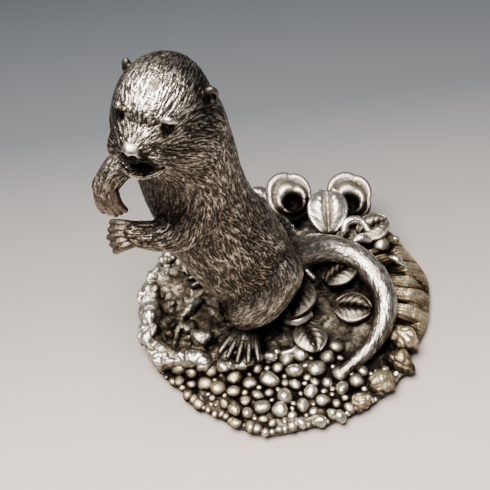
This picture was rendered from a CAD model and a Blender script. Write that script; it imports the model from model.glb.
"""A cast silver-coloured otter standing on a round piece of riverbank.

Lengths are in millimetres of the figurine as set out for a 67.3 mm height, and follow the frame's height.
The otter's chest faces -X, its head is turned to -Y, and its tail lies round on the +X side.
"""

import functools
import math

import bmesh
import bpy
import numpy as np
from mathutils import Matrix, Vector


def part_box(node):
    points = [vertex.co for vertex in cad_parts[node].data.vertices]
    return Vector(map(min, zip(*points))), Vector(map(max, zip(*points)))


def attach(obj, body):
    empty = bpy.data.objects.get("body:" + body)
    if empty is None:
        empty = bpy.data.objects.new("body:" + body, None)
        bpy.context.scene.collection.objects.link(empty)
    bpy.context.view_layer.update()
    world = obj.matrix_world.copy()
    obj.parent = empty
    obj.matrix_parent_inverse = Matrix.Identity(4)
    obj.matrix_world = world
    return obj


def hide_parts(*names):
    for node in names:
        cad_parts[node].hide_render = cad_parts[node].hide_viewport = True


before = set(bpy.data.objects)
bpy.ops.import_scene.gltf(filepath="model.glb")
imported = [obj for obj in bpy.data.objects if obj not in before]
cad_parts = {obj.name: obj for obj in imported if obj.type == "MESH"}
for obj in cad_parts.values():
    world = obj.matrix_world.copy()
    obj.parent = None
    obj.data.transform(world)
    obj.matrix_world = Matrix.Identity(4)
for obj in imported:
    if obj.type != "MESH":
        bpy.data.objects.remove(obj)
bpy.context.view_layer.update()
NODE, SLOT = "otter_figurine", "antique_metal"
DRAWN_HEIGHT = 67.3
low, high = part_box(NODE)
# one drawn millimetre, in metres
MM = (high.z - low.z) / DRAWN_HEIGHT
COARSER = 1.0


def vec(*values):
    return np.array(values, np.float32)


def unit(v):
    return v / (np.linalg.norm(v, axis=-1, keepdims=True) + 1e-9)


def smoothstep(low_edge, high_edge, x):
    t = np.clip((x - low_edge) / (high_edge - low_edge), 0, 1)
    return t * t * (3 - 2 * t)


def largest(*values):
    return functools.reduce(np.maximum, values)


def within(points, low_corner, high_corner):
    return np.all((points > low_corner) & (points < high_corner), axis=1)


def heading_frame(angle):
    """Two level directions: along a heading, and to its left."""
    return vec(math.cos(angle), math.sin(angle), 0), vec(-math.sin(angle), math.cos(angle), 0)


def facing_frame(way):
    """Three directions as rows: the way that is faced, level across it, and up."""
    across = unit(np.cross(vec(0, 0, 1), way))
    return np.stack([way, across, np.cross(way, across)])


# Noise in space, the same on every run

lattice = np.random.default_rng(12).random((64, 64, 64), np.float32) * 2 - 1


def noise(points, cell):
    """Smooth noise from -1 to 1 with one bump in about every `cell` millimetres."""
    p = points / cell
    base = np.floor(p).astype(np.int32)
    f = p - base
    f = f * f * (3 - 2 * f)
    x, y, z = (f[:, i] for i in range(3))
    a, b, c = ((base[:, i] & 63, (base[:, i] + 1) & 63) for i in range(3))
    rows = []
    for j in (0, 1):
        for k in (0, 1):
            rows.append(lattice[a[0], b[j], c[k]] * (1 - x) + lattice[a[1], b[j], c[k]] * x)
    front = rows[0] * (1 - z) + rows[1] * z
    behind = rows[2] * (1 - z) + rows[3] * z
    return front * (1 - y) + behind * y


def rough(points, cell, layers=3):
    """Noise in layers, each half as large and half as strong."""
    return sum(noise(points + 7.3 * i, cell / 2**i) / 2**i for i in range(layers)) / 1.6


def crumbs(points, cell):
    """Rounded lumps about `cell` across: 1 on their tops, falling to 0 in the cracks between them."""
    p = points / cell
    base = np.floor(p).astype(np.int32)
    first = np.full(len(p), 9.0, np.float32)
    second = first.copy()
    for step in np.ndindex(3, 3, 3):
        corner = base + np.array(step) - 1
        i, j, k = (corner[:, n] & 63 for n in range(3))
        seat = np.stack([lattice[i, j, k], lattice[j, k, i], lattice[(k + 17) & 63, i, j]], 1)
        far = np.linalg.norm(p - corner - 0.5 - 0.45 * seat, axis=1)
        second = np.minimum(second, np.maximum(first, far))
        first = np.minimum(first, far)
    dome = np.sqrt(np.clip(1 - (first / 0.85) ** 2, 0, 1))
    return dome * (0.55 + 0.45 * smoothstep(0.0, 0.3, second - first))


# Rounded forms as distances, negative inside


def curve_through(stations, steps=5):
    """Stations of [x, y, z, radius] joined by a smooth curve."""
    s = np.array(stations, np.float32)
    padded = np.vstack([2 * s[0] - s[1], s, 2 * s[-1] - s[-2]])
    made = []
    for i in range(len(s) - 1):
        a, b, c, d = padded[i : i + 4]
        for t in np.arange(steps) / steps:
            bend = (2 * a - 5 * b + 4 * c - d) * t**2 + (3 * b - a - 3 * c + d) * t**3
            made.append(0.5 * (2 * b + (c - a) * t + bend))
    made.append(s[-1])
    return np.array(made, np.float32)


def limb_distance(points, line, heading=False):
    """Distance to a limb with the given line of points and radii, and the way the limb runs there."""
    best = np.full(len(points), 1e3, np.float32)
    way = np.zeros((len(points), 3), np.float32)
    for a, b in zip(line[:-1], line[1:]):
        along = b[:3] - a[:3]
        h = np.clip((points - a[:3]) @ along / (along @ along), 0, 1)
        d = np.linalg.norm(points - a[:3] - h[:, None] * along, axis=1) - (a[3] + h * (b[3] - a[3]))
        nearer = d < best
        best[nearer] = d[nearer]
        if heading:
            way[nearer] = unit(along)
    return (best, way) if heading else best


def egg_distance(points, middle, half, turn=None):
    """Distance to an egg with half sizes along the rows of `turn`."""
    p = points - middle
    if turn is not None:
        p = p @ turn.T
    k = np.linalg.norm(p / half, axis=1)
    slope = np.linalg.norm(p / (half * half), axis=1)
    return k * (k - 1) / (slope + 1e-6)


def soft_join(a, b, k):
    h = np.clip(0.5 + 0.5 * (b - a) / k, 0, 1)
    return b * (1 - h) + a * h - k * h * (1 - h)


def soft_cut(a, b, k):
    return -soft_join(-a, b, k)


class Form:
    """A shape built in steps, each a rounded form that is joined on or cut away with a soft edge."""

    def __init__(self):
        self.steps = []

    def add(self, measure, near_low, near_high, k=1.0, cut=False):
        self.steps.append((measure, near_low - k, near_high + k, k, cut))

    def limb(self, line, k=1.0, cut=False):
        reach = line[:, 3].max() + (1.5 if cut else 2.5)
        near_low, near_high = line[:, :3].min(0) - reach, line[:, :3].max(0) + reach
        self.add(lambda p: limb_distance(p, line), near_low, near_high, k, cut)

    def egg(self, middle, half, turn=None, k=1.0, cut=False):
        reach = np.max(half) + (1.0 if cut else 2.0)
        self.add(lambda p: egg_distance(p, middle, half, turn), middle - reach, middle + reach, k, cut)

    def distance(self, points):
        far = np.full(len(points), 1e3, np.float32)
        for measure, near_low, near_high, k, cut in self.steps:
            near = within(points, near_low, near_high)
            if near.any():
                blend = soft_cut if cut else soft_join
                far[near] = blend(far[near], measure(points[near]), k)
        return far


class Block:
    """A block of space cut in small cubes, that holds the distance to a form at each corner."""

    def __init__(self, low_corner, high_corner, step):
        self.low = np.array(low_corner, np.float32)
        self.step = step
        self.count = np.ceil((np.array(high_corner) - self.low) / step).astype(int) + 1
        self.far = np.full(self.count, 1e3, np.float32)

    def part(self, low_corner, high_corner):
        a = np.clip(np.floor((low_corner - self.low) / self.step).astype(int), 0, self.count)
        b = np.clip(np.ceil((high_corner - self.low) / self.step).astype(int) + 1, 0, self.count)
        axes = [self.low[i] + self.step * np.arange(a[i], b[i], dtype=np.float32) for i in range(3)]
        points = np.stack(np.meshgrid(*axes, indexing="ij"), -1).reshape(-1, 3)
        return tuple(slice(i, j) for i, j in zip(a, b)), points

    def fill(self, form):
        for measure, near_low, near_high, k, cut in form.steps:
            where, points = self.part(near_low, near_high)
            if len(points):
                was = self.far[where]
                blend = soft_cut if cut else soft_join
                self.far[where] = blend(was, measure(points).reshape(was.shape), k)

    def at(self, points):
        """The distance at any points, between the corners."""
        p = np.clip((points - self.low) / self.step, 0, self.count - 1.001)
        base = p.astype(np.int32)
        f = p - base
        flat = self.far.ravel()
        deep, across = self.count[1] * self.count[2], self.count[2]
        start = base[:, 0] * deep + base[:, 1] * across + base[:, 2]
        total = np.zeros(len(p), np.float32)
        for i, j, k in np.ndindex(2, 2, 2):
            share = (f[:, 0] if i else 1 - f[:, 0]) * (f[:, 1] if j else 1 - f[:, 1])
            total += share * (f[:, 2] if k else 1 - f[:, 2]) * flat[start + i * deep + j * across + k]
        return total

    def skin(self):
        """Points and four-sided faces of the surface, one point in each cube that the surface passes."""
        inside = self.far < 0
        n = self.count - 1
        corners = list(np.ndindex(2, 2, 2))
        filled = np.zeros(n, np.int8)
        for corner in corners:
            filled += inside[tuple(slice(c, c + m) for c, m in zip(corner, n))]
        crossed = (filled > 0) & (filled < 8)
        cells = np.argwhere(crossed)
        number = np.full(n, -1, np.int32)
        number[crossed] = np.arange(len(cells))
        values = np.stack([self.far[tuple((cells + c).T)] for c in corners], 1)
        total = np.zeros((len(cells), 3), np.float32)
        hits = np.zeros(len(cells), np.float32)
        for i, a in enumerate(corners):
            for j, b in enumerate(corners):
                if i < j and sum(abs(x - y) for x, y in zip(a, b)) == 1:
                    va, vb = values[:, i], values[:, j]
                    cross = (va < 0) != (vb < 0)
                    t = np.where(cross, va / np.where(cross, va - vb, 1), 0)[:, None]
                    total += cross[:, None] * (np.array(a) + t * (np.array(b) - np.array(a)))
                    hits += cross
        points = self.low + self.step * (cells + total / hits[:, None])
        faces = []
        for axis in range(3):
            u, v = (axis + 1) % 3, (axis + 2) % 3
            ahead = np.roll(inside, -1, axis)
            edges = np.argwhere(inside != ahead)
            edges = edges[(edges[:, axis] < n[axis]) & (edges[:, u] > 0) & (edges[:, v] > 0)]
            edges = edges[(edges[:, u] < n[u]) & (edges[:, v] < n[v])]
            ring = []
            for du, dv in ((1, 1), (0, 1), (0, 0), (1, 0)):
                cell = edges.copy()
                cell[:, u] -= du
                cell[:, v] -= dv
                ring.append(number[tuple(cell.T)])
            quads = np.stack(ring, 1)
            out = inside[tuple(edges.T)]
            faces.append(np.where(out[:, None], quads, quads[:, ::-1]))
        return points.astype(np.float32), np.vstack(faces)


def point_normals(points, faces):
    across = np.cross(points[faces[:, 2]] - points[faces[:, 0]], points[faces[:, 3]] - points[faces[:, 1]])
    sums = [sum(np.bincount(faces[:, k], across[:, i], len(points)) for k in range(4)) for i in range(3)]
    return unit(np.stack(sums, 1).astype(np.float32))


def relax(points, faces, rounds, strength=0.5):
    """Evens the points out over the surface."""
    pairs = np.vstack([faces[:, [k, (k + 1) % 4]] for k in range(4)])
    count = np.bincount(pairs[:, 0], minlength=len(points))[:, None]
    for _ in range(rounds):
        mean = np.stack([np.bincount(pairs[:, 0], points[pairs[:, 1], i], len(points)) for i in range(3)], 1)
        points = points + strength * (mean / np.maximum(count, 1) - points)
    return points.astype(np.float32)


def quartered(points, faces):
    """Each four-sided face split in four."""
    start, end = faces.ravel(), np.roll(faces, -1, axis=1).ravel()
    keys = np.minimum(start, end).astype(np.int64) * len(points) + np.maximum(start, end)
    edges, which = np.unique(keys, return_inverse=True)
    halfway = (points[edges // len(points)] + points[edges % len(points)]) / 2
    centres = points[faces].mean(1)
    side = len(points) + which.reshape(-1, 4)
    centre = len(points) + len(edges) + np.arange(len(faces))
    small = [np.stack([faces[:, k], side[:, k], centre, side[:, k - 1]], 1) for k in range(4)]
    return np.vstack([points, halfway, centres]).astype(np.float32), np.vstack(small)


def skin_of(form, low_corner, high_corner, spacing):
    """The surface of a form inside a block, as an even mesh of small four-sided faces."""
    block = Block(low_corner, high_corner, 2 * spacing)
    block.fill(form)
    points, faces = block.skin()
    points = relax(points, faces, 2)
    points, faces = quartered(points, faces)
    for _ in range(3):
        normals = point_normals(points, faces)
        off = np.clip(form.distance(points), -2 * spacing, 2 * spacing)
        points = points - 0.8 * normals * off[:, None]
    return relax(points, faces, 1, 0.25), faces


# The otter's anatomy: stations of [x, y, z, radius]

TRUNK = [
    [-4.0, 0.6, 9.6, 5.6],
    [-5.0, 0.5, 15.5, 8.3],
    [-7.8, 0.4, 23.0, 9.0],
    [-10.6, -0.1, 31.0, 8.5],
    [-12.4, -0.4, 40.0, 8.3],
    [-12.9, -1.4, 48.0, 8.2],
    [-13.7, -2.5, 55.0, 7.9],
]
HEAD = vec(-15.0, -4.0, 59.7)
FORWARD = unit(vec(-0.45, -0.884, 0.126))
LEFT = unit(np.cross(vec(0.165, 0.055, 0.985), FORWARD))
FACE = np.stack([FORWARD, LEFT, np.cross(FORWARD, LEFT)])


def on_head(forward, left, up):
    return HEAD + vec(forward, left, up) @ FACE


NOSE = on_head(9.8, 0, 0)


def head_stations(rows):
    """Stations given in the head's own forward, left and up, with a radius."""
    return curve_through([[*on_head(*row[:3]), row[3]] for row in rows], 4)


BROW_LINES = [
    head_stations([[6.4, side * 2.9, 4.5, 0.3], [6.2, side * 3.9, 4.65, 0.5], [5.6, side * 4.8, 4.25, 0.3]])
    for side in (-1, 1)
]
LIP_LINE = head_stations(
    [
        [7.3, -3.5, -4.9, 0.2],
        [8.3, -2.0, -5.5, 0.3],
        [8.8, 0.6, -5.4, 0.34],
        [8.2, 2.7, -4.6, 0.3],
        [7.1, 3.8, -3.7, 0.2],
    ]
)
MOUTH, MOUTH_HALF = on_head(9.0, 0.7, -2.9), vec(1.6, 2.3, 1.75)
NOSE_PAD, NOSE_HALF = on_head(9.5, -0.4, 0.1), vec(1.2, 1.35, 1.0)
EARS = [(-1, on_head(-2.4, -6.8, 4.7)), (1, on_head(-2.4, 6.8, 4.2))]


def add_head(form):
    form.egg(on_head(-1.0, -0.45, 1.2), vec(8.4, 6.9, 7.2), FACE, 2.4)
    form.limb(head_stations([[1.6, -3.3, -2.4, 3.3], [3.2, -0.1, -2.0, 4.5], [1.6, 4.5, -2.3, 3.7]]), 3.2)
    form.limb(head_stations([[-3.0, 4.1, -3.0, 4.0], [-3.4, 3.5, -8.0, 4.5]]), 3.0)
    form.limb(head_stations([[2.8, -0.1, 0.8, 4.5], [5.8, -0.2, -0.3, 3.7], [7.9, -0.35, -0.8, 2.7]]), 1.4)
    form.egg(on_head(6.9, -2.9, -1.9), vec(2.6, 2.3, 2.2), FACE, 1.3)
    form.egg(on_head(7.0, 2.4, -1.4), vec(2.4, 2.3, 1.8), FACE, 0.9)
    form.egg(on_head(5.7, 0, -4.7), vec(2.9, 3.1, 1.5), FACE, 0.7)
    form.limb(LIP_LINE, 0.3)
    # the stop between the brow and the bridge of the nose
    form.limb(head_stations([[8.3, -3.0, 3.4, 1.0], [8.1, 0, 3.5, 1.0], [8.3, 3.0, 3.4, 1.0]]), 1.6, cut=True)
    for side, ear in EARS:
        form.limb(BROW_LINES[side > 0], 0.5)
        form.egg(on_head(7.0, side * 3.8, 3.05), vec(1.4, 0.85, 0.75), FACE, 0.35, cut=True)
        form.egg(on_head(5.7, side * 3.75, 3.05), vec(0.8, 0.65, 0.6), FACE, 0.1)
        turn = facing_frame(unit(FORWARD + 0.55 * side * LEFT))
        root = [[*on_head(-2.4, side * 5.0, 3.2), 1.2], [*(ear - vec(0, 0, 0.6)), 0.7]]
        form.limb(curve_through(root, 2), 0.5)
        form.egg(ear, vec(0.7, 1.0 + 0.15 * side, 1.4), turn, 0.5)
        form.egg(ear + 0.7 * turn[0] - vec(0, 0, 0.3), vec(0.7, 0.75, 0.9), turn, 0.15, cut=True)
    # the open mouth, the groove under the nose, the nose pad and its nostrils
    form.egg(MOUTH, MOUTH_HALF, FACE, 0.35, cut=True)
    form.limb(head_stations([[10.2, -0.3, -0.9, 0.2], [9.9, 0, -2.0, 0.25]]), 0.25, cut=True)
    form.egg(NOSE_PAD, NOSE_HALF, FACE, 0.3)
    for side in (-1, 1):
        form.egg(NOSE_PAD + vec(1.0, side * 0.7, -0.5) @ FACE, vec(0.6, 0.45, 0.45), FACE, 0.15, cut=True)


def paw(wrist, heading, back_of_hand, fanning, palm_width, reach, girth):
    """Lines for a palm and five digits fanned about the heading."""
    across = unit(np.cross(back_of_hand, heading))
    middle = wrist + 1.2 * heading
    lines = [curve_through([[*wrist, girth * 2.4], [*middle, girth * 1.5]], 2)]
    for k in (-1, 1):
        side = middle + k * 0.5 * palm_width * across
        lines.append(curve_through([[*(wrist + 0.4 * k * across), girth * 2.0], [*side, girth * 1.4]], 2))
    for fan in (-1, -0.5, 0, 0.5, 1):
        out = unit(heading + fanning * fan * across)
        knuckle = middle - 1.4 * heading + 0.8 * palm_width * fan * across + 0.15 * back_of_hand
        long = (reach + 1.4) * (1 - 0.13 * abs(fan))
        bend = knuckle + 0.6 * long * out + 0.3 * back_of_hand
        tip = knuckle + long * out - 0.5 * back_of_hand
        lines.append(curve_through([[*knuckle, girth * 0.95], [*bend, girth * 0.85], [*tip, girth * 0.7]], 3))
    return lines


NEAR_ARM = [
    [-11.5, -5.2, 42.0, 3.9],
    [-15.0, -7.7, 37.6, 3.4],
    [-18.8, -8.3, 37.2, 2.6],
    [-22.6, -7.8, 37.9, 2.05],
]
FAR_ARM = [
    [-12.0, 4.8, 42.0, 3.9],
    [-17.8, 5.6, 41.8, 3.0],
    [-23.6, 4.6, 41.6, 2.5],
    [-27.2, 3.4, 38.4, 2.1],
]
HAUNCHES = [
    [[-0.4, -3.6, 17.4, 4.6], [-4.1, -5.8, 13.9, 4.7], [-7.0, -6.6, 11.0, 3.1]],
    [[-0.4, 4.4, 17.2, 4.6], [-3.9, 6.6, 13.4, 4.5], [-6.9, 7.4, 9.2, 3.1]],
]
TAIL = [
    [-1.0, 2.4, 13.2, 4.4],
    [3.6, 5.2, 11.2, 3.3],
    [9.6, 6.8, 9.4, 2.75],
    [15.4, 4.2, 8.0, 2.5],
    [18.7, -1.8, 6.6, 2.25],
    [18.2, -7.8, 5.2, 2.0],
    [14.6, -13.2, 4.0, 1.5],
    [8.2, -17.5, 3.1, 0.8],
]
LEDGE_TOP = 5.4


def hind_foot(heel, heading_degrees, reach):
    """Lines for a flat foot with five long toes."""
    forward, across = heading_frame(math.radians(heading_degrees))
    middle = heel + 2.4 * forward
    lines = [curve_through([[*heel, 1.8], [*middle, 1.2]], 2)]
    for fan in (-1, -0.5, 0, 0.5, 1):
        out = unit(forward + 0.42 * fan * across)
        knuckle = middle + 1.7 * fan * across - 0.8 * forward
        tip = knuckle + (reach - 0.8 * abs(fan)) * out
        tip[2] = LEDGE_TOP + 0.3
        arch = (knuckle + tip) / 2 + vec(0, 0, 0.35)
        lines.append(curve_through([[*knuckle, 0.85], [*arch, 0.7], [*tip, 0.5]], 4))
    return lines


NEAR_HEEL = vec(-6.9, -6.4, LEDGE_TOP + 0.9)
FAR_HEEL = vec(-9.0, 8.0, LEDGE_TOP + 0.9)
ARM_LINES = [curve_through(NEAR_ARM), curve_through(FAR_ARM)]
NEAR_HEADING, NEAR_BACK_OF_HAND = unit(vec(-1, 0, 0.02)), unit(vec(0.2, -0.55, 0.8))
FAR_HEADING, FAR_BACK_OF_HAND = unit(vec(0.12, -0.45, -0.88)), unit(vec(-0.5, -0.8, 0.33))
NEAR_PAW = paw(vec(-22.8, -7.8, 37.9), NEAR_HEADING, NEAR_BACK_OF_HAND, 0.3, 1.6, 2.8, 0.82)
FAR_PAW = paw(vec(-27.2, 3.2, 38.0), FAR_HEADING, FAR_BACK_OF_HAND, 0.12, 2.1, 3.9, 0.8)
PAW_LINES = [*NEAR_PAW, *FAR_PAW]
# the first three lines of a paw are its palm
DIGIT_LINES = [*NEAR_PAW[3:], *FAR_PAW[3:]]
FOOT_LINES = [*hind_foot(NEAR_HEEL, -112, 5.7), *hind_foot(FAR_HEEL, 170, 6.4)]
TRUNK_LINE = curve_through(TRUNK)
TAIL_LINE = curve_through(TAIL)
HAUNCH_LINES = [curve_through(rows) for rows in HAUNCHES]


def otter_form():
    form = Form()
    form.limb(TRUNK_LINE, 1.0)
    for line in ARM_LINES:
        form.limb(line, 1.5)
    for line in HAUNCH_LINES:
        form.limb(line, 0.4)
    form.limb(TAIL_LINE, 1.6)
    for line in [*PAW_LINES, *FOOT_LINES]:
        form.limb(line, 0.2)
    add_head(form)
    return form


# Fur: short strokes that follow the way the hair lies

HAIR_GUIDES = [
    (TRUNK_LINE, -1, 1.5),
    *[(line, 1, 0.8) for line in [*ARM_LINES, *HAUNCH_LINES, TAIL_LINE]],
    *[(line, 1, 0.4) for line in [*PAW_LINES, *FOOT_LINES]],
]


def hair_way(points, normals):
    """The way the hair lies over the skin: back from the nose, down the body and along each limb."""
    total = np.zeros((len(points), 3), np.float32)
    head_far = egg_distance(points, on_head(1.5, 0, 0), vec(9.5, 8.5, 8.5), FACE)
    total += np.exp(-np.clip(head_far, -2, 20) / 1.2)[:, None] * unit(points - NOSE)
    for line, sign, reach in HAIR_GUIDES:
        near = within(points, line[:, :3].min(0) - 12, line[:, :3].max(0) + 12)
        if near.any():
            far, way = limb_distance(points[near], line, heading=True)
            total[near] += np.exp(-np.clip(far, -1, 20) / reach)[:, None] * way * sign
    way = unit(total - np.sum(total * normals, 1, keepdims=True) * normals)
    sway = 0.7 * rough(points, 7.5, 2) + 0.3 * noise(points + 31, 2.6)
    sway *= 1 - 0.55 * smoothstep(52.0, 58.0, points[:, 2])
    return unit(way + sway[:, None] * np.cross(normals, way))


def strokes(points, way, width, length):
    """Strokes of a width and length drawn out along the hair, from -1 in the grooves to 1 on top."""
    total = np.zeros(len(points), np.float32)
    for s in np.linspace(0, 1, 9):
        total += (1 - 0.85 * s) * noise(points + way * (s * length), width)
    return np.tanh(1.8 * total)


def near_lines(points, lines, reach):
    """1 on the given limbs, fading to 0 at `reach` from them."""
    mask = np.zeros(len(points), np.float32)
    for line in lines:
        near = within(points, line[:, :3].min(0) - 5, line[:, :3].max(0) + 5)
        if near.any():
            mask[near] = np.maximum(mask[near], smoothstep(reach, 0.0, limb_distance(points[near], line)))
    return mask


def near_egg(points, middle, half, edge):
    return smoothstep(edge, 0.0, egg_distance(points, middle, half, FACE))


def fur(points, normals):
    """The relief of the fur from -1 to 1 and its depth: fine on the head, longer on the body."""
    way = hair_way(points, normals)
    on_the_head = smoothstep(46.0, 52.0, points[:, 2])
    fine = 0.9 * strokes(points, way, 0.13, 1.1) + 0.15 * strokes(points + 20, way, 0.4, 1.6)
    long = 0.75 * strokes(points, way, 0.15, 1.2) + 0.22 * strokes(points + 20, way, 0.4, 1.8)
    relief = long * (1 - on_the_head) + fine * on_the_head
    depth = 0.13 - 0.035 * on_the_head
    # the tail and the near haunch have short hair, and the feet, digits, nose, eyes and ears are bare
    haunch = near_lines(points, HAUNCH_LINES[:1], 0.4)
    short = largest(near_lines(points, [TAIL_LINE], 0.5), 0.5 * haunch)
    depth = depth * (1 - 0.2 * short)
    digits = 0.7 * near_lines(points, [*DIGIT_LINES, *FOOT_LINES], 0.2)
    bare = largest(digits, near_egg(points, NOSE_PAD, NOSE_HALF, 0.35))
    for side, ear in EARS:
        eye = near_egg(points, on_head(6.0, side * 3.75, 3.2), vec(1.2, 0.8, 0.65), 0.3)
        bare = largest(bare, eye, near_egg(points, ear + vec(0, 0, 0.3), vec(1.3, 1.3, 1.4), 0.5))
    relief = np.clip(relief, -1, 1) * (1 - 0.6 * short) + 0.42 * short
    relief += 0.3 * near_lines(points, [ARM_LINES[1], *FAR_PAW], 0.6)
    relief += 0.5 * near_lines(points, [TAIL_LINE[3:]], 0.5) * rough(points, 0.8, 2)
    relief = relief * (1 - bare) + 0.25 * bare
    # the forehead and the tail are worn brighter by handling
    worn = 0.6 * near_egg(points, on_head(3.6, 0.4, 5.2), vec(3.6, 3.6, 3.2), 3.4)
    relief += largest(worn, 0.35 * near_lines(points, [TAIL_LINE[5:]], 0.6))
    # the near brow, the nose and the lower lip are polished, in patches about 0.7 mm across
    uneven = smoothstep(-0.5, 0.3, noise(points, 0.7))
    nose = near_egg(points, NOSE_PAD, NOSE_HALF, 0.3) * (0.4 + 0.6 * uneven)
    lip = near_lines(points, [LIP_LINE], 0.3) * uneven
    polished = largest(near_lines(points, [BROW_LINES[1]], 0.35), nose, lip)
    return relief + (1.3 - relief) * 0.8 * polished, depth * (1 - bare) * (1 - 0.5 * polished)


def blackened(points):
    """1 where the casting was left black: the eyes, nostrils, mouth and the hollows of the ears."""
    # middle, half sizes, soft edge and strength: throat, side, mouth, upper lip, nostrils
    marks = [
        (vec(-19.5, -6.5, 45.0), vec(5, 6, 4.5), 4.0, 0.4),
        (vec(-9, -7, 31), vec(6, 5, 8), 5.0, 0.07),
        (MOUTH, MOUTH_HALF, 0.4, 1),
        (on_head(9.2, 0.8, -2.1), vec(1.8, 2.6, 1.5), 0.5, 0.85),
        (NOSE_PAD + vec(0.9, 0.1, -0.8) @ FACE, vec(0.8, 1.2, 0.5), 0.25, 1),
    ]
    for side, ear in EARS:
        marks.append((on_head(6.3, side * 3.8, 3.0), vec(1.2, 0.9, 0.75), 0.3, 1))
        marks.append((ear + vec(0.9, 0, -0.4) @ FACE, vec(0.7, 0.7, 0.75), 0.3, 1))
    return largest(*[strength * near_egg(points, *mark) for *mark, strength in marks])


# Meshes

ALL_SPACE = Block([-33, -31, -1], [31, 31, 70], 0.6)


def closed_rings(count, sides):
    """Faces through rings of points; the two points after them close the first ring and the last."""
    at = np.arange(count * sides).reshape(count, sides)
    beside = np.roll(at, -1, axis=1)
    faces = np.stack([at[:-1], at[1:], beside[1:], beside[:-1]], -1).reshape(-1, 4).tolist()
    faces += [[count * sides, j, k] for j, k in zip(at[0].tolist(), beside[0].tolist())]
    return faces + [[count * sides + 1, k, j] for j, k in zip(at[-1].tolist(), beside[-1].tolist())]


def openness(points, normals):
    """1 on the open skin and 0 in deep hollows, where polishing can't reach."""
    side = unit(np.cross(normals, vec(0.31, 0.52, 0.79)))
    other = np.cross(normals, side)
    total = np.zeros(len(points), np.float32)
    for turn in np.arange(6) * math.pi / 3:
        lean = 0.55 * normals + 0.83 * (math.cos(turn) * side + math.sin(turn) * other)
        for reach in (2.2, 5.5):
            total += np.clip(ALL_SPACE.at(points + lean * reach) / (0.5 * reach), 0, 1)
    for reach in (0.7, 1.4, 2.8, 5.6):
        total += np.clip(ALL_SPACE.at(points + normals * reach) / reach, 0, 1)
    return total / 16


def keep(name, metal, points, faces, relief, warm=0.0, stain=0.0):
    """Makes a piece with the numbers its metal needs at each point: relief, openness and warm tarnish."""
    mesh = bpy.data.meshes.new(name)
    mesh.from_pydata((points * MM).tolist(), [], faces if isinstance(faces, list) else faces.tolist())
    mesh.shade_smooth()
    piece = bpy.data.objects.new(name, mesh)
    bpy.context.scene.collection.objects.link(piece)
    normals = np.zeros(len(mesh.vertices) * 3, np.float32)
    mesh.vertices.foreach_get("normal", normals)
    open_share = openness(points, normals.reshape(-1, 3)) * (1 - stain)
    for label, values in (("relief", relief), ("open", open_share), ("warm", warm)):
        spread = np.broadcast_to(np.float32(values), len(points)).astype(np.float32)
        mesh.attributes.new(label, "FLOAT", "POINT").data.foreach_set("value", spread)
    mesh.materials.append(metal)
    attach(piece, "root")
    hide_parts(NODE)


# Riverbank

DRAWN_RADIUS = 27.0
BANK_FRONT, BANK_BACK, BANK_EDGE = 2.4, 6.2, 1.5
FLANK_START, FLANK_END = math.radians(-28), math.radians(62)


def bank_reach(angle):
    lobes = 0.035 * np.cos(angle - math.radians(50)) + 0.02 * np.sin(3 * angle + 0.6)
    return DRAWN_RADIUS * (1 + lobes + 0.015 * np.sin(7 * angle + 2) + 0.008 * np.sin(13 * angle))


def on_flank(angle):
    return smoothstep(FLANK_START - 0.15, FLANK_START + 0.15, angle) * (
        1 - smoothstep(FLANK_END - 0.2, FLANK_END + 0.2, angle)
    )


def bank_top(x, y):
    """Low shingle in front, rising to the back, rounded down at the edge."""
    x, y = np.asarray(x, np.float32), np.asarray(y, np.float32)
    angle = np.arctan2(y, x)
    share = np.minimum(1, np.hypot(x, y) / bank_reach(angle))
    back = smoothstep(-0.55 * DRAWN_RADIUS, 0.75 * DRAWN_RADIUS, y)
    crown = BANK_FRONT + (BANK_BACK - BANK_FRONT) * back + 1.6 * on_flank(angle)
    return crown + (BANK_EDGE - crown) * share**7


def on_bank(x, y, lift):
    return vec(x, y, float(bank_top(x, y)) + lift)


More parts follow.
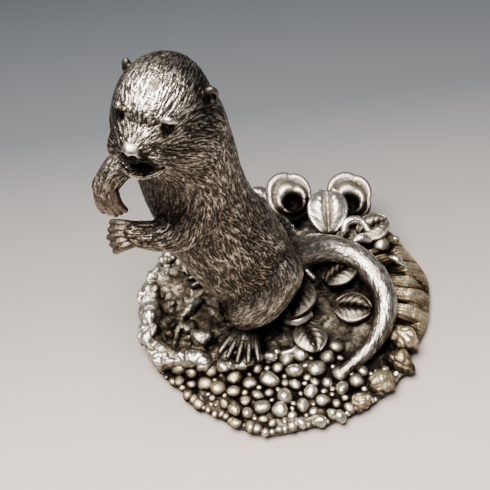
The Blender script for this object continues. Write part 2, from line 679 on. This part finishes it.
def bank():
    """The bank: blocky ribbed rock on the +X flank and crumbly ground elsewhere."""
    sides, rings = ((400, 92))
    # sides lie closer together on the ribbed flank
    even = np.linspace(-math.pi, math.pi, 4000)
    crowding = np.cumsum(1 + 2.4 * on_flank(even))
    crowding = (crowding - crowding[0]) / (crowding[-1] - crowding[0])
    angle = np.interp(np.arange(sides) / sides, crowding, even)
    shares = np.linspace(0.02, 1, rings) ** 0.75
    a, s = np.meshgrid(angle, shares)
    reach = s * bank_reach(a)
    x, y = (reach * np.cos(a)).ravel(), (reach * np.sin(a)).ravel()
    a, s = a.ravel().astype(np.float32), s.ravel().astype(np.float32)
    height = bank_top(x, y)
    flat = np.stack([x, y, 0 * x], 1).astype(np.float32)
    flank = on_flank(a) * smoothstep(0.6, 0.74, s)
    along = a * DRAWN_RADIUS + 0.5 * noise(flat, 5.0)
    bedded = np.stack([s * 9.0 + 0.8 * noise(flat, 4.0), along / 1.1, 0 * s], 1)
    blocks = crumbs(bedded.astype(np.float32), 3.1)
    ribs = np.sin(along * 2 * math.pi / 0.75 + 2.2 * noise(flat + 4, 2.6))
    beads = crumbs(flat + 3, 1.5) * smoothstep(0.78, 0.94, s)
    rock = 1.7 * (blocks - 0.6) + 0.3 * ribs * blocks + 0.3 * (beads - 0.3) + 0.4 * rough(flat + 9, 1.6, 4)
    ground = 0.3 * (crumbs(flat + vec(0, 0, 9), 2.3) - 0.5) + 0.9 * rough(flat, 2.8, 4)
    ground += 0.7 * (crumbs(flat + 5, 1.9) - 0.4) * smoothstep(0.72, 0.88, s)
    rise = flank * rock + (1 - flank) * ground
    rise *= 1 - 0.6 * smoothstep(0.95, 1.0, s)
    top = flat + np.stack([0 * a, 0 * a, height + rise], 1)
    under = flat[-sides:] * 0.985
    points = np.vstack([top, under, [[0, 0, bank_top(0, 0)]], [[0, 0, 0]]]).astype(np.float32)
    relief, warm = np.zeros((2, len(points)), np.float32)
    relief[: len(rise)] = np.clip(rise / 0.45, -1.2, 1.2) * (0.35 + 0.85 * flank)
    relief[: len(rise)] -= (1 - flank) * (0.35 - 0.6 * rough(flat, 0.9, 2) + 0.6 * smoothstep(-8, -14, y))
    warm[: len(rise)] = on_flank(a) * smoothstep(0.5, 0.75, s)
    return points, closed_rings(rings + 1, sides), relief, warm


# The ledge of rock under the otter

LEDGE_MIDDLE = vec(-14.9, 1.2, 0)
LEDGE_THICKNESS = 2.6
MOUNDS = [
    [-17.8, -3.7, 5.3, 1.5], [-15.4, -6.6, 5.3, 1.9], [-24.8, 0.6, 5.0, 2.3], [-25.2, -3.2, 4.8, 1.9],
    [-22.6, -8.2, 4.6, 1.9], [-19.4, -10.2, 4.7, 1.7], [-15.8, -11.2, 4.6, 1.9], [-11.8, -12.6, 4.4, 1.6],
    [-8.2, -12.8, 4.2, 1.6], [-24.6, 5.8, 5.2, 1.6], [-23.2, 9.8, 5.2, 1.5], [-20.6, 13.2, 5.2, 1.7],
]
ROOT = curve_through(
    [[-15.6, 1.6, 5.0, 0.7], [-18.2, -0.8, 5.4, 0.75], [-20.0, -4.4, 5.2, 0.8], [-21.2, -7.6, 4.8, 0.7]]
)


def ledge_reach(angle):
    return 13.4 + 1.2 * np.sin(2 * angle - 0.7) + 0.7 * np.sin(5 * angle + 1) + 0.35 * np.sin(11 * angle)


def ledge_distance(points, crumbly=True):
    """A slab with a broken rim, dished in the middle, with mounds and a root across it."""
    across = points - LEDGE_MIDDLE
    angle = np.arctan2(across[:, 1], across[:, 0])
    out = np.hypot(across[:, 0], across[:, 1])
    edge = ledge_reach(angle) - 0.4 + 0.9 * rough(points, 3.0, 2)
    calm = 0 * out
    for heel, forward in ((NEAR_HEEL, vec(-0.37, -0.93, 0)), (FAR_HEEL, vec(-0.98, 0.17, 0))):
        off = np.linalg.norm((points - heel - 3.4 * forward)[:, :2], axis=1)
        calm = np.maximum(calm, smoothstep(4.6, 3.0, off))
    top = LEDGE_TOP - 0.9 * (1 - calm) * smoothstep(1.5, 5.0, edge - out)
    middle = LEDGE_TOP - 0.5 * LEDGE_THICKNESS
    z = points[:, 2]
    slab = largest(out - edge, z - top, middle - 0.5 * LEDGE_THICKNESS - z)
    stem = largest(out - edge + 2.2 + 0.8 * noise(points, 2.0), z - middle, 0.8 - z)
    far = soft_join(slab, stem, 0.8)
    for x, y, z, radius in MOUNDS:
        far = soft_join(far, egg_distance(points, vec(x, y, z), vec(radius, radius, 0.7 * radius)), 0.7)
    far = soft_join(far, limb_distance(points, ROOT), 0.3)
    if not crumbly:
        return far + 0.4
    rim = smoothstep(4.4, 1.6, edge - out)
    crust = 0.85 * (crumbs(points, 2.9) - 0.55) + 0.25 * (crumbs(points + 40, 1.2) - 0.5)
    floor_lumps = 1.1 * rough(points, 3.4, 4) + 0.2 * (crumbs(points + 40, 1.7) - 0.5)
    lumps = rim * crust + (1 - rim) * floor_lumps
    return 0.8 * (far - (1 - 0.75 * calm) * lumps)


def ledge():
    """The ledge with bright crust along its rim and on its mounds, and a dull rough floor."""
    form = Form()
    low_corner, high_corner = vec(-30.4, -15.5, 0.3), vec(1.0, 18.5, 8.0)
    form.add(ledge_distance, low_corner - 2, high_corner + 2)
    points, faces = skin_of(form, low_corner, high_corner, 0.205 * COARSER)
    across = points - LEDGE_MIDDLE
    edge = ledge_reach(np.arctan2(across[:, 1], across[:, 0])) - np.hypot(across[:, 0], across[:, 1])
    rim = smoothstep(3.3, 1.2, edge)
    high_up = smoothstep(LEDGE_TOP, LEDGE_TOP + 1.3, points[:, 2])
    bright = np.maximum(rim * smoothstep(2.6, LEDGE_TOP, points[:, 2]), high_up)
    lumps = crumbs(points, 2.9) + 0.4 * crumbs(points + 40, 1.2) + 0.5 * rough(points, 1.6, 3) - 0.8
    return points, faces, np.clip(1.5 * lumps - 0.75 + 1.1 * bright, -1.3, 1.1), 0.35 * (1 - bright)


# Stones: [x, y, radius]

# from this radius a stone is broken rock rather than water-worn
ROCK_FROM = 2.05
ROCKS = [[20.9, -11.6, 2.6], [19.6, -16.0, 2.7], [15.4, -19.9, 2.5], [11.0, -23.0, 2.1]]
BOULDERS = [
    [4.4, -15.4, 1.9], [-4.4, -16.3, 2.0], [-13.7, -16.4, 1.6], [-11.3, -21.2, 1.4],
    [20.6, 8.7, 1.7], [24.0, 11.9, 0.9], [19.6, 12.4, 0.8], [-3.9, -12.2, 1.0],
]
# how far a stone's middle stands over the bank, as a share of its radius
STONE_LIFT = 0.22
SHINGLE_FROM, SHINGLE_TO = -160, -34


def stone(middle, radius, seed):
    """A stone, uneven and a little flat."""
    made = bmesh.new()
    finer = (radius > 1.15) + 2 * (radius > ROCK_FROM)
    bmesh.ops.create_icosphere(made, subdivisions=2 + finer, radius=1)
    points = np.array([v.co[:] for v in made.verts], np.float32)
    faces = [[v.index for v in f.verts] for f in made.faces]
    made.free()
    rng = np.random.default_rng(seed)
    turn = np.array(Matrix.Rotation(rng.uniform(0, math.pi), 3, "Z"), np.float32)
    shift = rng.uniform(0, 40, 3).astype(np.float32)
    if radius > ROCK_FROM:
        broken = 0.22 * crumbs(points + shift, 0.9) + 0.2 * rough(points + shift, 0.6, 5)
        points *= (0.85 + broken)[:, None]
    points *= 1 + 0.16 * noise(points + shift, 0.8)[:, None]
    points *= vec(1, rng.uniform(0.75, 1.0), rng.uniform(0.7, 0.95))
    return points @ turn.T * radius + middle, faces


def gather(parts):
    """Several (points, faces, relief) as one."""
    points, faces, relief = zip(*parts)
    starts = np.cumsum([0, *map(len, points)]).tolist()
    joined = [[i + start for i in face] for start, some in zip(starts, faces) for face in some]
    return np.vstack(points).astype(np.float32), joined, np.concatenate(relief)


def stone_places():
    """Places for the shingle, the largest stones laid first and the smaller fitted between them."""
    rng = np.random.default_rng(5)
    rim = []
    for degrees in np.arange(SHINGLE_FROM + 2, SHINGLE_TO, 2.7):
        angle, radius = math.radians(degrees + rng.uniform(-0.8, 0.8)), rng.uniform(0.55, 1.3)
        reach = bank_reach(angle) - rng.uniform(0.1, 0.9) * radius
        rim.append([reach * math.cos(angle), reach * math.sin(angle), radius])
    placed = np.vstack([ROCKS, BOULDERS, rim])
    for biggest, smallest, tries in ((1.9, 1.35, 500), (1.35, 0.95, 1800), (0.95, 0.55, 9000)):
        for _ in range(tries):
            angle = math.radians(rng.uniform(SHINGLE_FROM, SHINGLE_TO))
            radius = rng.uniform(smallest, biggest)
            reach = (bank_reach(angle) - 0.45 * radius) * math.sqrt(rng.uniform(0.13, 1))
            x, y = reach * math.cos(angle), reach * math.sin(angle)
            dx, dy = x - LEDGE_MIDDLE[0], y - LEDGE_MIDDLE[1]
            under_ledge = math.hypot(dx, dy) < ledge_reach(math.atan2(dy, dx)) - 1.6
            # the tail and the rocks take up the +X side
            if under_ledge or y > -10.5 or (x > 9 and y > -17):
                continue
            if np.all(np.hypot(x - placed[:, 0], y - placed[:, 1]) > 0.82 * (radius + placed[:, 2])):
                placed = np.vstack([placed, [x, y, radius]])
    return placed


def shingle(places):
    """All the stones, their tops rubbed bright: some more than others, and the broken rocks less."""
    parts, browns = [], []
    for i, (x, y, radius) in enumerate(places):
        points, faces = stone(on_bank(x, y, STONE_LIFT * radius), radius, i)
        rocky = radius > ROCK_FROM
        tops = smoothstep(-0.2, 0.9, (points[:, 2] - points[:, 2].mean()) / radius)
        # toward -X the shingle is browner and less rubbed
        shaded = smoothstep(-4.0, -13.0, x)
        own = noise(points.mean(0)[None] * 3.1, 1.0)[0]
        parts.append((points, faces, own + (1.6 if rocky else 2.9) * tops - 0.9 - 0.7 * shaded))
        browns.append(np.full(len(points), 1.0 if rocky else 0.35 + 0.5 * shaded))
    points, faces, relief = gather(parts)
    return points, faces, relief + 0.8 * rough(points, 0.9, 3), np.concatenate(browns)


# Leaves, shoots and blooms


def shell_between(top, under, rows, columns):
    """A closed shell from a grid of points on top and the same below."""
    points = np.vstack([top.reshape(-1, 3), under.reshape(-1, 3)])
    at = np.arange(rows * columns).reshape(rows, columns)
    below = at + rows * columns
    faces = []
    for i in range(rows - 1):
        for j in range(columns - 1):
            faces.append([at[i, j], at[i + 1, j], at[i + 1, j + 1], at[i, j + 1]])
            faces.append([below[i, j], below[i, j + 1], below[i + 1, j + 1], below[i + 1, j]])
    rim = [*at[0], *at[1:, -1], *at[-1, -2::-1], *at[-2:0:-1, 0]]
    for a, b in zip(rim, rim[1:] + rim[:1]):
        faces.append([a, b, b + rows * columns, a + rows * columns])
    return points, faces


def leaf(stalk, heading, rise, length, roll, width=0.47, puff=0.17):
    """A leaf with two puffed halves, a sunk midrib, slanting veins and a thick edge."""
    rows, columns = 29, 25
    s = np.linspace(0, 1, rows)[:, None]
    a = np.linspace(-1, 1, columns)[None, :]
    half = width * length * np.sin(np.pi * np.clip(0.05 + 0.93 * s, 0, 1)) ** 0.6
    forward, level = heading_frame(heading)
    left = level * math.cos(roll) + vec(0, 0, math.sin(roll))
    up = np.cross(forward, left)
    swell = np.sin(np.pi * np.clip(s, 0, 1)) ** 0.6
    halves = puff * length * np.sin(np.pi * np.abs(a) ** 0.8) * swell
    veins = 0.09 * np.sin(2 * np.pi * (5.5 * s - 1.8 * np.abs(a))) * (1 - np.abs(a) ** 3) * swell
    edge = 0.07 * length * np.abs(a) ** 6
    groove = -0.35 * np.exp(-((a / 0.13) ** 2)) * swell
    height = halves + veins + groove + edge
    sag = rise * length * np.sin(0.5 * np.pi * s)
    place = stalk + (s * length)[..., None] * forward + (a * half)[..., None] * left
    top = place + (height + sag)[..., None] * up
    thick = 0.8 - 0.25 * np.abs(a) + 0 * s
    under = place + (sag - thick)[..., None] * up
    relief = np.clip(2.2 * groove + 4.0 * veins + 1.1 * np.abs(a) ** 5 + 0.1, -1, 1) + 0 * s
    relief = np.concatenate([relief.ravel(), np.full(relief.size, -0.8)])
    return *shell_between(top, under, rows, columns), relief


def shoot(stations, sides=14):
    """A round twig, stalk or rolled leaf edge along a line of [x, y, z, radius]."""
    line = curve_through(stations, 6)
    tangents = unit(np.gradient(line[:, :3], axis=0))
    across = unit(np.cross(tangents, vec(0.1, 0.2, 0.97)))
    over = np.cross(across, tangents)
    angle = np.linspace(0, 2 * math.pi, sides, endpoint=False)
    circle = np.cos(angle)[None, :, None] * across[:, None] + np.sin(angle)[None, :, None] * over[:, None]
    points = (line[:, None, :3] + line[:, None, 3:] * circle).reshape(-1, 3)
    ends = [line[0, :3] - line[0, 3] * 0.7 * tangents[0], line[-1, :3] + line[-1, 3] * 0.7 * tangents[-1]]
    points = np.vstack([points, ends]).astype(np.float32)
    return points, closed_rings(len(line), sides), np.full(len(points), 1.6, np.float32)


def bloom(middle, facing, radius=4.2, depth=4.6, petals=5):
    """An open cup of overlapping petals with a thick double rim and a dark hollow."""
    facing, left, up = facing_frame(unit(facing))
    sides = 70
    angle = np.linspace(0, 2 * math.pi, sides, endpoint=False)
    # shares of the radius and depth, and the relief there: outside, two rolled rims, and the hollow
    profile = [
        (0.25, -0.35, -0.5), (0.62, 0.0, -0.4), (0.90, 0.34, -0.1), (1.02, 0.58, 0.3), (1.05, 0.74, 0.7),
        (1.01, 0.87, 1.0), (0.92, 0.92, 0.9), (0.83, 0.87, 0.4), (0.78, 0.80, -0.8), (0.74, 0.86, 0.0),
        (0.68, 0.97, 0.8), (0.60, 1.01, 1.0), (0.51, 0.97, 0.7), (0.45, 0.84, -0.2), (0.41, 0.64, -1.2),
        (0.36, 0.44, -1.6), (0.22, 0.34, -1.6), (0.10, 0.30, -1.5),
    ]
    rings, relief = [], []
    for reach, rise, tone in profile:
        lobe = np.abs(np.sin(0.5 * petals * angle + (0.6 if reach < 0.8 else 0))) ** 0.6 - 0.6
        wavy = 0.1 if reach > 0.5 else 0.0
        behind, before = np.clip(np.sin(angle), 0, 1), np.clip(-np.sin(angle), 0, 1)
        taller = 0.45 * behind**1.5 * smoothstep(0.4, 0.9, reach) - 0.12 * before
        spread = radius * reach * (1 + wavy * lobe + taller)
        lift = depth * (rise - 0.22 * before * smoothstep(0.3, 0.8, reach)) + 3.5 * wavy * lobe
        ring = middle - 0.16 * radius * (1 - reach) * up + np.outer(lift * np.ones(sides), facing)
        rings.append(ring + np.outer(spread * np.cos(angle), left) + np.outer(spread * np.sin(angle), up))
        relief.append(tone - 0.6 - 2.4 * before)
    points = np.vstack([*rings, [middle - 0.5 * depth * facing], [middle + 0.24 * depth * facing]])
    faces = [face[::-1] for face in closed_rings(len(profile), sides)]
    return points.astype(np.float32), faces, np.concatenate([*relief, [-1.1, -2.1]])


LEAF_LENGTH = 8.0
# x, y, height over the bank, heading in degrees, rise, share of the length, roll in degrees, rubbing
LEAVES = [
    [3.9, 1.2, 1.8, -108, 0.05, 1.05, 10, -0.9],
    [9.6, -4.0, 1.0, -20, 0.05, 0.85, 6, -0.8],
    [8.6, 0.8, 1.4, 22, 0.1, 0.85, -12, -0.8],
    [3.4, -6.2, 1.4, -78, 0.05, 0.85, -8, -0.3],
    [6.0, 3.4, 1.8, 120, 0.1, 0.55, 0, -0.6],
    [11.0, 11.6, 1.3, 84, 0.35, 1.05, 0, 0.7],
    [16.6, 10.8, 0.8, 18, 0.12, 0.8, 8, -0.3],
    [1.0, 20.5, 1.6, 140, 0.35, 0.75, 0, 0],
    [-5.0, 17.5, 1.2, 100, 0.2, 0.8, -10, 0],
    [-10.5, 18.5, 1.0, 150, 0.15, 0.75, 8, 0],
    [12.6, 7.6, 0.9, 55, 0.15, 0.6, 0, -0.4],
]
BLOOM_LIFT = 1.15
BLOOMS = [(4.6, 21.2, vec(0.1, -0.38, 0.92)), (16.0, 18.4, vec(-0.02, -0.35, 0.93))]
# rolled edges, stalks and twigs: [x, y, height over the bank, radius]
SHOOTS = [
    [[0.0, -5.6, 2.6, 0.7], [2.4, -6.5, 3.2, 0.95], [4.9, -5.2, 3.0, 0.7]],
    [[4.6, 4.6, 3.2, 0.5], [5.4, 3.0, 2.6, 0.6], [6.6, 1.6, 1.8, 0.5]],
    [[-4.4, -11.8, 1.6, 0.8], [-3.4, -12.2, 1.7, 0.95], [-2.8, -12.5, 1.4, 0.7]],
    [[-1.4, -11.6, 1.2, 0.7], [0.6, -11.4, 1.5, 0.55], [1.8, -10.2, 1.6, 0.3]],
    [[13.6, 10.4, 0.8, 0.6], [14.6, 12.8, 2.2, 0.85], [17.4, 13.0, 2.4, 0.85], [18.8, 10.6, 1.4, 0.6]],
    [[15.2, 8.8, 1.2, 0.7], [17.0, 9.2, 1.7, 0.95], [18.6, 9.0, 1.1, 0.6]],
    [[-1.6, 19.6, 1.4, 0.9], [-0.4, 20.4, 2.2, 1.1]],
    [[0.8, 23.2, 1.6, 0.8], [1.4, 22.4, 2.0, 0.9]],
    [[21.6, 5.2, 0.9, 0.4], [22.8, 4.4, 1.2, 0.7], [24.0, 3.6, 0.8, 0.4]],
]


def plants():
    """Every leaf and shoot as (points, faces, relief)."""
    made = []
    for x, y, lift, heading, rise, share, roll, rubbed in LEAVES:
        stalk, length = on_bank(x, y, lift), LEAF_LENGTH * share
        points, faces, relief = leaf(stalk, math.radians(heading), rise, length, math.radians(roll))
        made.append((points, faces, relief + rubbed))
    return made + [shoot([[*on_bank(x, y, lift), r] for x, y, lift, r in rows]) for rows in SHOOTS]


def blooms():
    return [bloom(on_bank(x, y, BLOOM_LIFT), facing) for x, y, facing in BLOOMS]


# Materials


def linear(code):
    """An sRGB hex colour as linear red, green and blue."""
    parts = [int(code[i : i + 2], 16) / 255 for i in (0, 2, 4)]
    return (*[c / 12.92 if c <= 0.04045 else ((c + 0.055) / 1.055) ** 2.4 for c in parts], 1.0)


def node(tree, kind, settings=None, **links):
    """Adds a node, sets its properties and sockets, and links sockets by name."""
    made = tree.nodes.new(kind)
    for key, value in (settings or {}).items():
        if hasattr(made, key):
            setattr(made, key, value)
        else:
            made.inputs[key].default_value = value
    for key, source in links.items():
        tree.links.new(source, made.inputs[key.replace("_", " ")])
    return made


def maths(tree, operation, a, b):
    made = tree.nodes.new("ShaderNodeMath")
    made.operation = operation
    for socket, value in zip(made.inputs, (a, b)):
        if isinstance(value, (int, float)):
            socket.default_value = value
        else:
            tree.links.new(value, socket)
    return made.outputs[0]


def plus_share(tree, base, source, share, middle=0.0):
    """`base` plus a share of how far `source` is over its middle."""
    over = maths(tree, "SUBTRACT", source, middle)
    return maths(tree, "ADD", base, maths(tree, "MULTIPLY", over, share))


def ramp_of(tree, source, stops):
    made = node(tree, "ShaderNodeValToRGB", {}, Fac=source)
    for end, (position, code) in zip(made.color_ramp.elements, (stops[0], stops[-1])):
        end.position, end.color = position, linear(code)
    for position, code in stops[1:-1]:
        made.color_ramp.elements.new(position).color = linear(code)
    return made.outputs["Color"]


def antique_silver(name, relief_share, tones, tarnish, dull, bright, grit):
    """Cast pewter, blackened all over and then rubbed back, with tarnish where it is warm.

    It gives the eye near black in the hollows, grey on the slopes and bright metal on what stands up.
    """
    material = bpy.data.materials.new(name)
    material.use_nodes = True
    tree = material.node_tree
    tree.nodes.clear()
    relief = node(tree, "ShaderNodeAttribute", {"attribute_name": "relief"}).outputs["Fac"]
    space = node(tree, "ShaderNodeAttribute", {"attribute_name": "open"}).outputs["Fac"]
    warm = node(tree, "ShaderNodeAttribute", {"attribute_name": "warm"}).outputs["Fac"]
    place = node(tree, "ShaderNodeTexCoord").outputs["Object"]
    # uneven rubbing over about 5 mm, and the fine grain of the casting
    uneven = {"Scale": 0.2 / MM, "Detail": 4.0}
    blotches = node(tree, "ShaderNodeTexNoise", uneven, Vector=place).outputs["Fac"]
    fine = {"Scale": 2.6 / MM, "Detail": 3.0}
    grain = node(tree, "ShaderNodeTexNoise", fine, Vector=place).outputs["Fac"]
    rubbed = plus_share(tree, maths(tree, "MULTIPLY", relief, relief_share), space, 0.66)
    rubbed = plus_share(tree, rubbed, blotches, 0.35, 0.5)
    rubbed = plus_share(tree, rubbed, grain, grit, 0.5)
    colour = ramp_of(tree, rubbed, tones)
    # sockets 0, 6 and 7 of a colour mix are its factor and its two colours
    tint = node(tree, "ShaderNodeMix", {"data_type": "RGBA", "blend_type": "MULTIPLY"})
    tree.links.new(warm, tint.inputs[0])
    tree.links.new(colour, tint.inputs[6])
    tint.inputs[7].default_value = linear(tarnish)
    span = {"From Min": 0.2, "From Max": 1.0, "To Min": dull, "To Max": bright}
    gloss = node(tree, "ShaderNodeMapRange", span, Value=rubbed).outputs["Result"]
    # tarnished rock is duller still
    roughness = plus_share(tree, gloss, warm, 0.1)
    bump = node(tree, "ShaderNodeBump", {"Strength": 0.6, "Distance": 0.5 * grit * MM}, Height=grain)
    metal = node(
        tree,
        "ShaderNodeBsdfPrincipled",
        {"Metallic": 1.0},
        Base_Color=tint.outputs[2],
        Roughness=roughness,
        Normal=bump.outputs["Normal"],
    )
    node(tree, "ShaderNodeOutputMaterial", {}, Surface=metal.outputs["BSDF"])
    return material


# Assembly


def fill_space(otter, places):
    """Puts everything in ALL_SPACE, which tells how open each point is."""
    ALL_SPACE.fill(otter)
    where, points = ALL_SPACE.part(vec(-31, -31, -1), vec(31, 31, 14))
    ground = (points[:, 2] - bank_top(points[:, 0], points[:, 1]) + 0.5) * 0.8
    ground = largest(ground, np.hypot(points[:, 0], points[:, 1]) - DRAWN_RADIUS)
    ground = np.minimum(ground, ledge_distance(points, crumbly=False))
    ALL_SPACE.far[where] = np.minimum(ALL_SPACE.far[where], ground.reshape(ALL_SPACE.far[where].shape))
    clutter = Form()
    for x, y, radius in places:
        clutter.egg(on_bank(x, y, STONE_LIFT * radius), vec(radius, radius, 0.85 * radius), k=0.05)
    for x, y, lift, heading, rise, share, *_ in LEAVES:
        forward, across = heading_frame(math.radians(heading))
        half = LEAF_LENGTH / 2 * share
        middle = on_bank(x, y, lift) + half * forward + vec(0, 0, half * rise / 2)
        turn = np.stack([forward, across, vec(0, 0, 1)])
        clutter.egg(middle, vec(half, 0.8 * half, 0.7), turn, k=0.05)
    for x, y, facing in BLOOMS:
        turn = facing_frame(unit(facing))
        foot = on_bank(x, y, BLOOM_LIFT)
        clutter.egg(foot + 2.0 * turn[0], vec(2.6, 4.2, 4.2), turn, k=0.05)
        clutter.egg(foot + 4.0 * turn[0], vec(2.6, 2.4, 2.4), turn, k=0.05, cut=True)
    ALL_SPACE.fill(clutter)


# how far the metal is rubbed, and its colour there
FUR_TONES = [(0.12, "12100e"), (0.40, "2d2925"), (0.64, "534d46"), (0.86, "968f85"), (1.0, "e0dcd4")]
BANK_TONES = [(0.08, "14110e"), (0.32, "464038"), (0.56, "8b8479"), (0.78, "c3bdb2"), (0.96, "eae6de")]
fur_metal = antique_silver("antique_silver_fur", 0.3, FUR_TONES, "e2c9b2", 0.55, 0.34, 0.22)
bank_metal = antique_silver("antique_silver_bank", 0.26, BANK_TONES, "f0e4cc", 0.62, 0.27, 0.4)

otter, places = otter_form(), stone_places()
fill_space(otter, places)

# the otter is one form, made in four stretches that overlap
OVERLAP = 0.25
KNEE_CUT, WAIST_CUT, NECK_CUT = 14.5, 31.0, 49.0


def furred(name, low_corner, high_corner, spacing):
    """One stretch of the otter; its open ends sink a little, so that they hide in the next stretch."""
    points, faces = skin_of(otter, low_corner, high_corner, spacing * COARSER)
    normals = point_normals(points, faces)
    relief, depth = fur(points, normals)
    sink = 0 * depth
    for cut in (KNEE_CUT, WAIST_CUT, NECK_CUT):
        for edge, way in ((low_corner[2], 1), (high_corner[2], -1)):
            if abs(edge - cut) < 1.5 * OVERLAP:
                sink += 0.25 * smoothstep(0.9 * OVERLAP, 0.0, way * (points[:, 2] - edge))
    points = points + normals * (depth * relief - sink)[:, None]
    warm = near_lines(points, PAW_LINES, 2.5) * 0.5
    keep(name, fur_metal, points.astype(np.float32), faces, relief, warm, blackened(points))


furred("otter_head", vec(-28, -17, NECK_CUT - OVERLAP), vec(-3, 8, 69), 0.133)
furred("otter_chest", vec(-32, -20, WAIST_CUT - OVERLAP), vec(6, 15, NECK_CUT + OVERLAP), 0.146)
furred("otter_belly", vec(-24, -20, KNEE_CUT - OVERLAP), vec(12, 15, WAIST_CUT + OVERLAP), 0.14)
furred("otter_feet_and_tail", vec(-24, -20, 3.0), vec(23, 15, KNEE_CUT + OVERLAP), 0.155)

keep("riverbank", bank_metal, *bank())
keep("rock_ledge", bank_metal, *ledge())
keep("shingle", bank_metal, *shingle(places))
keep("leaves", bank_metal, *gather(plants()))
keep("blooms", bank_metal, *gather(blooms()))

# Floor, light and camera

FLOOR_HALF = 3.0
floor_mesh = bpy.data.meshes.new("floor")
corners = [(x * FLOOR_HALF, y * FLOOR_HALF, 0) for x, y in ((-1, -1), (1, -1), (1, 1), (-1, 1))]
floor_mesh.from_pydata(corners, [], [(0, 1, 2, 3)])
floor = bpy.data.objects.new("floor", floor_mesh)
bpy.context.scene.collection.objects.link(floor)
# matt paper, pale in front and greyer toward the back, as a curved sheet is in soft light
paper = bpy.data.materials.new("pale_paper")
paper.use_nodes = True
tree = paper.node_tree
place = node(tree, "ShaderNodeTexCoord").outputs["Object"]
along = node(tree, "ShaderNodeSeparateXYZ", {}, Vector=place).outputs["Y"]
span = {"From Min": -45 * MM, "From Max": 110 * MM}
share = node(tree, "ShaderNodeMapRange", span, Value=along).outputs["Result"]
fade = ramp_of(tree, share, [(0.0, "c6bbb3"), (0.35, "8a8684"), (0.66, "4c5056"), (1.0, "33393f")])
tree.links.new(fade, tree.nodes["Principled BSDF"].inputs["Base Color"])
tree.nodes["Principled BSDF"].inputs["Roughness"].default_value = 0.8
floor_mesh.materials.append(paper)


# one soft round lamp high up on the left
LAMP_PLACE, LAMP_TARGET, LAMP_WIDTH = Vector((-60, -30, 290)), Vector((-6, 0, 20)), 230
light = bpy.data.lights.new("overhead", "AREA")
light.shape, light.size, light.energy = "DISK", LAMP_WIDTH * MM, 4.0
light.color = linear("fff8ee")[:3]
lamp = bpy.data.objects.new("overhead", light)
lamp.location = LAMP_PLACE * MM
lamp.rotation_mode = "QUATERNION"
lamp.rotation_quaternion = (LAMP_TARGET * MM - lamp.location).to_track_quat("-Z", "Y")
bpy.context.scene.collection.objects.link(lamp)

world = bpy.data.worlds.new("room")
bpy.context.scene.world = world
world.use_nodes = True
sky = world.node_tree.nodes["Background"]
sky.inputs["Color"].default_value = linear("b7bcc2")
sky.inputs["Strength"].default_value = 0.26

# the camera looks down at 50 degrees and is rolled by 8, as the photographer held it
AIM = vec(-5.38, 1.67, 20)
DISTANCE, ELEVATION, ROLL = 200, math.radians(50), math.radians(8)
LENS, SENSOR = 82, 36
back = vec(0, -math.cos(ELEVATION), math.sin(ELEVATION))
level = vec(1, 0, 0)
rise = vec(0, math.sin(ELEVATION), math.cos(ELEVATION))
right = level * math.cos(ROLL) - rise * math.sin(ROLL)
up = level * math.sin(ROLL) + rise * math.cos(ROLL)
camera_data = bpy.data.cameras.new("camera")
camera_data.lens, camera_data.sensor_width = LENS, SENSOR
camera_data.clip_start, camera_data.clip_end = 0.005, 20
camera = bpy.data.objects.new("camera", camera_data)
place = (AIM + back * DISTANCE) * MM
rows = np.column_stack([right, up, back, place]).tolist()
camera.matrix_world = Matrix([*rows, [0, 0, 0, 1]])
bpy.context.scene.collection.objects.link(camera)
bpy.context.scene.camera = camera
